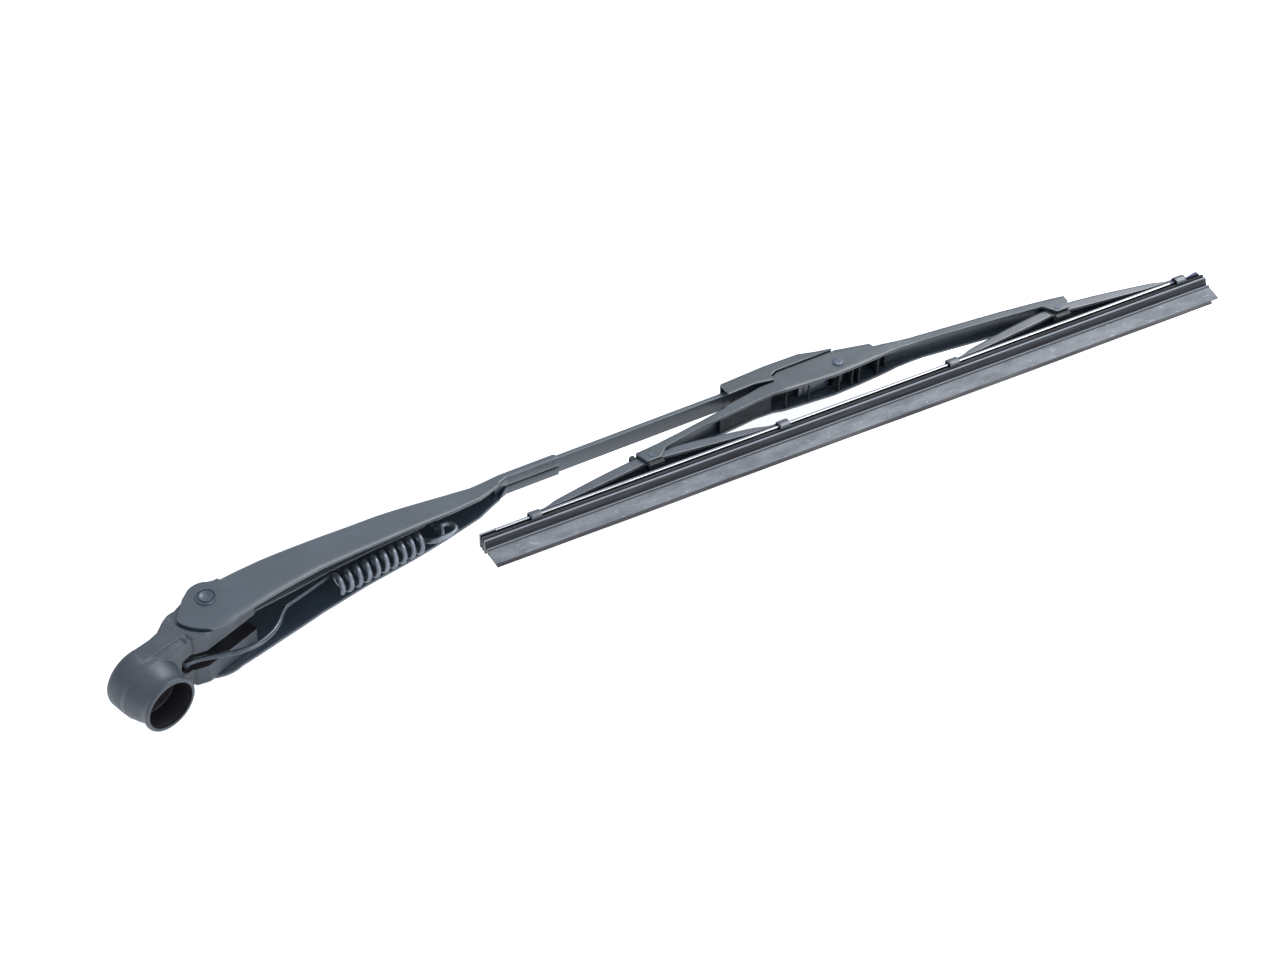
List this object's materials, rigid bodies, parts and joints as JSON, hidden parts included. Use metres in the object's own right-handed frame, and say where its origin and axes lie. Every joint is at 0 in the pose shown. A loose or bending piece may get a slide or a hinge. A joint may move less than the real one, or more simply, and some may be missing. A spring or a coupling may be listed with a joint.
{
  "type": "wiper arm",
  "caption": "Windscreen wiper arm with its blade: cast head on a hinged sprung channel, flat bar with rolled hook, bridge, two yokes, flexor rails and rubber.",
  "frame": {"origin": "on the spindle axis, in the plane of the skirt's mouth", "axes": "+X along the arm towards the blade's far end, +Z along the spindle away from the glass, Y across the arm"},
  "size_m": [0.5318, 0.0336, 0.1879],
  "materials": {
    "arm_paint": "satin black paint",
    "yoke_paint": "satin black paint, dusty",
    "bridge_plastic": "fine-grained matt",
    "cover_plastic": "satin matt",
    "clip_plastic": "matt",
    "spring_steel": "dark phosphated",
    "pin_steel": "darkened",
    "rail_steel": "bright rolled",
    "blade_rubber": "matt, graphite-dusted"
  },
  "bodies": {
    "head": {"head": "arm_paint", "link_pin": "pin_steel"},
    "arm": {"arm_channel": "arm_paint", "arm_rivet": "arm_paint", "arm_bar": "arm_paint", "adapter": "cover_plastic", "cover": "cover_plastic"},
    "spring": {"spring_link": "spring_steel", "tension_spring": "spring_steel"},
    "blade": {"bridge": "bridge_plastic", "blade_pin": "pin_steel", "near_yoke_pin": "pin_steel", "far_yoke_pin": "pin_steel", "near_yoke_clip": "clip_plastic", "far_yoke_clip": "clip_plastic", "near_rail": "rail_steel", "far_rail": "rail_steel", "wiper_rubber": "blade_rubber"},
    "near_yoke": {"near_yoke": "yoke_paint"},
    "far_yoke": {"far_yoke": "yoke_paint"}
  },
  "joints": [
    {"name": "arm_pivot", "type": "hinge", "parent": "head", "child": "arm", "pos_m": [0.0415, 0, 0.0247], "axis": [0, -1, 0], "range_deg": [0, 52], "deforming": ["tension_spring"]},
    {"name": "spring_swing", "type": "hinge", "parent": "head", "child": "spring", "pos_m": [0.0209, 0, 0.016], "axis": [0, -1, 0], "range_deg": [0, 45], "deforming": ["tension_spring"]},
    {"name": "blade_pivot", "type": "hinge", "parent": "arm", "child": "blade", "pos_m": [0.34703, 0, -0.06106], "axis": [0, -1, 0], "range_deg": [-5, 5]},
    {"name": "near_yoke_pivot", "type": "hinge", "parent": "blade", "child": "near_yoke", "pos_m": [0.24394, 0, -0.04185], "axis": [0, -1, 0], "range_deg": [-4, 4], "deforming": ["wiper_rubber", "near_rail", "far_rail"]},
    {"name": "far_yoke_pivot", "type": "hinge", "parent": "blade", "child": "far_yoke", "pos_m": [0.44835, 0, -0.10787], "axis": [0, -1, 0], "range_deg": [-4, 4], "deforming": ["wiper_rubber", "near_rail", "far_rail"]}
  ],
  "couplings": [
    {"joint": "spring_swing", "follows": "arm_pivot", "ratio": 0.845}
  ]
}
